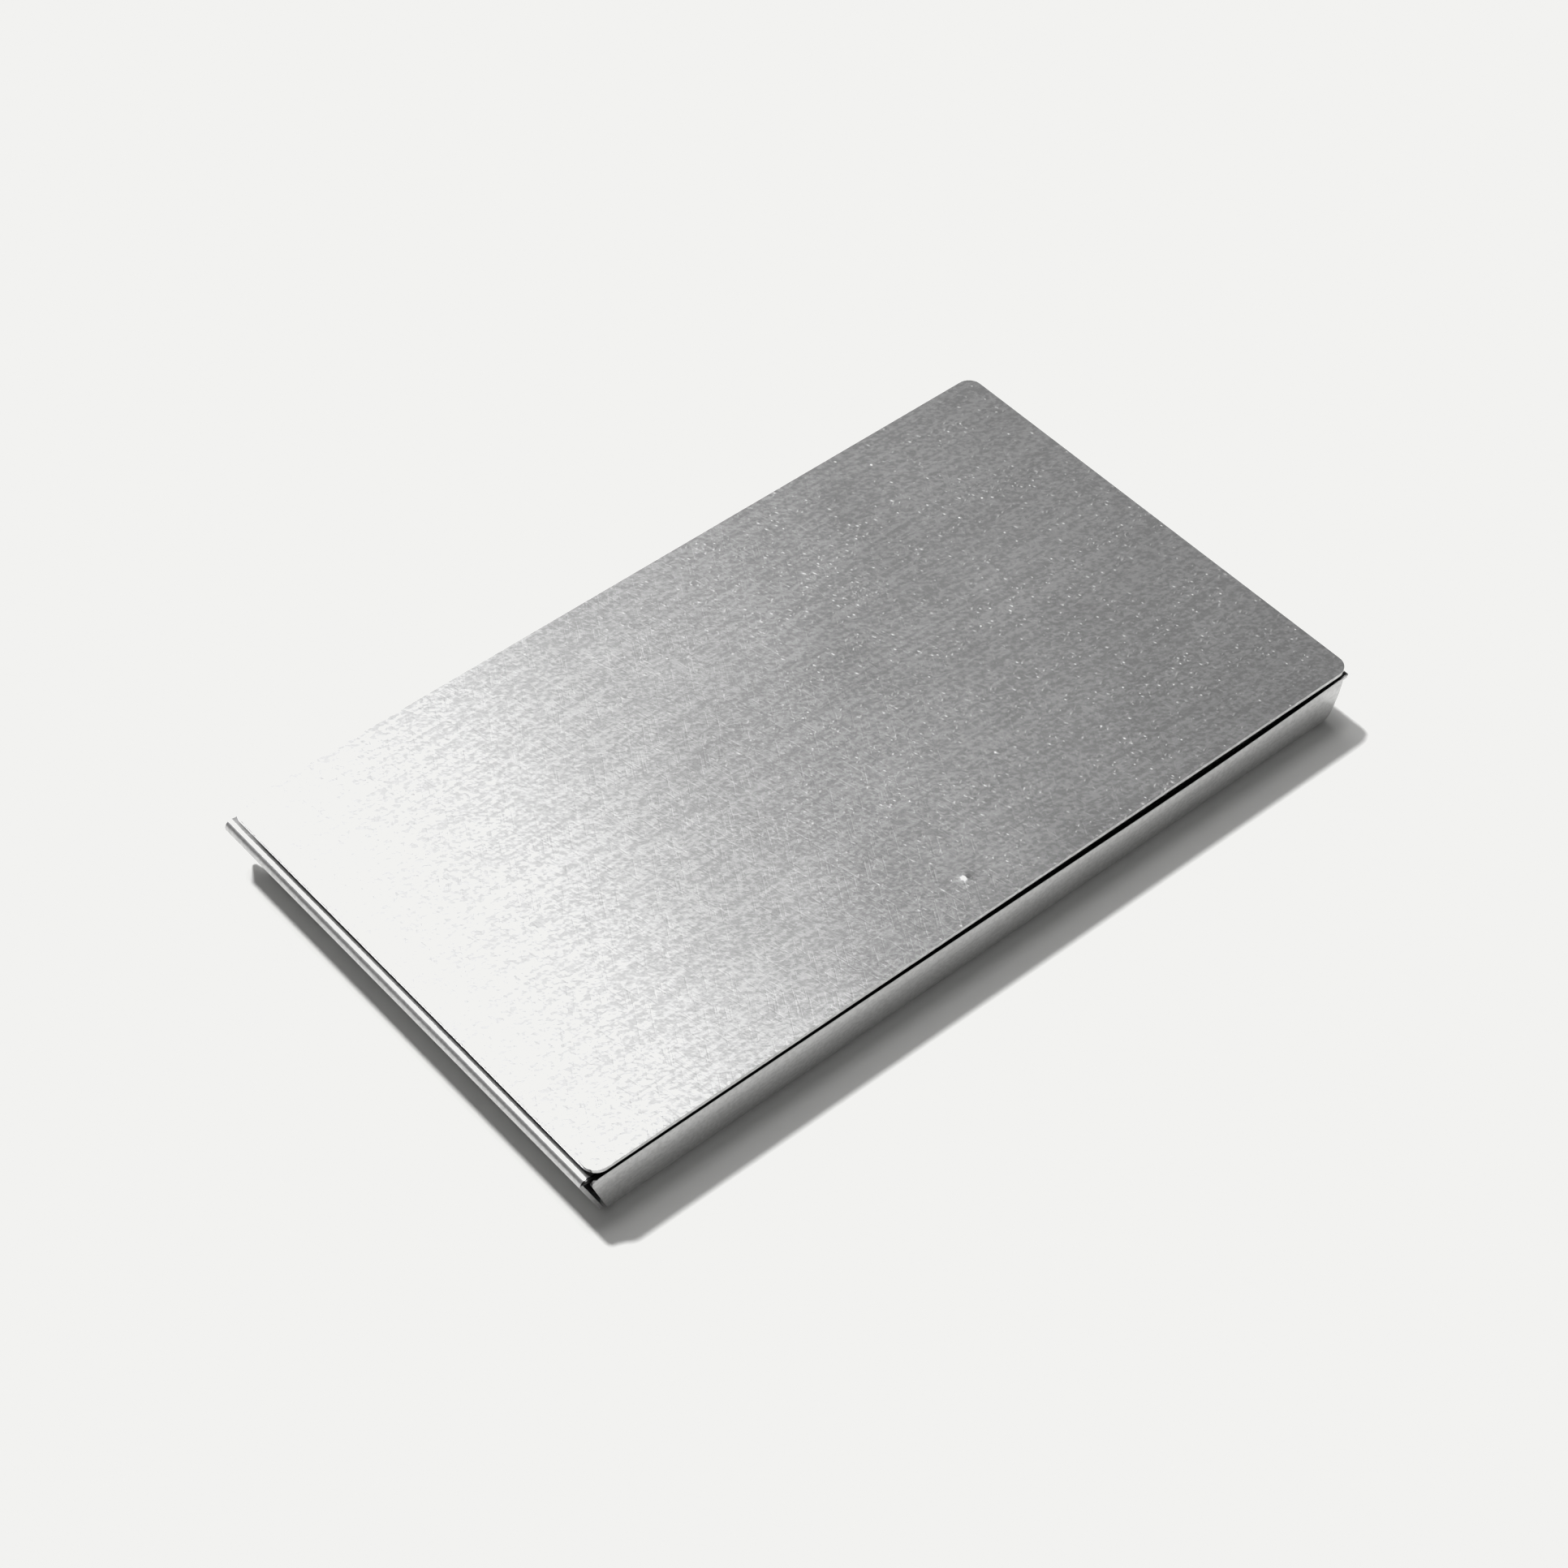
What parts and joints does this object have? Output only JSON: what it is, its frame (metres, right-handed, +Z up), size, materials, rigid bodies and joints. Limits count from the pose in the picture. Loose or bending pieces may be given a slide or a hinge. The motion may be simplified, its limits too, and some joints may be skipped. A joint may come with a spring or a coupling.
{
  "type": "business card case",
  "caption": "Flat sheet-metal card case: a folded open-cornered tray with turned-over end lips, closed by a plain hinged lid plate with a spring catch.",
  "frame": {"origin": "centre of the bounding box in plan, at the floor's underside", "axes": "+X along the case to the right, -Y is the front with the catch, +Y is the hinge side, +Z up through the lid"},
  "size_m": [0.0952, 0.0552, 0.0077],
  "materials": {
    "tinned_sheet": "bright rolled sheet with a fine grain along the case",
    "lid_sheet": "bright sheet with short crossing scratches and glints",
    "hinge_strip": "bright rolled strip",
    "steel_wire": "drawn wire",
    "spring_steel": "tempered spring strip"
  },
  "bodies": {
    "case": {"tray": "tinned_sheet", "tray_hinge_leaf": "hinge_strip", "hinge_pin": "steel_wire"},
    "cover": {"lid": "lid_sheet", "lid_hinge_leaf": "hinge_strip", "catch_spring": "spring_steel"}
  },
  "joints": [
    {"name": "lid_hinge", "type": "hinge", "parent": "case", "child": "cover", "pos_m": [0.00042, 0.0266, 0.0058], "axis": [-1, 0, 0], "range_deg": [0, 105]}
  ]
}
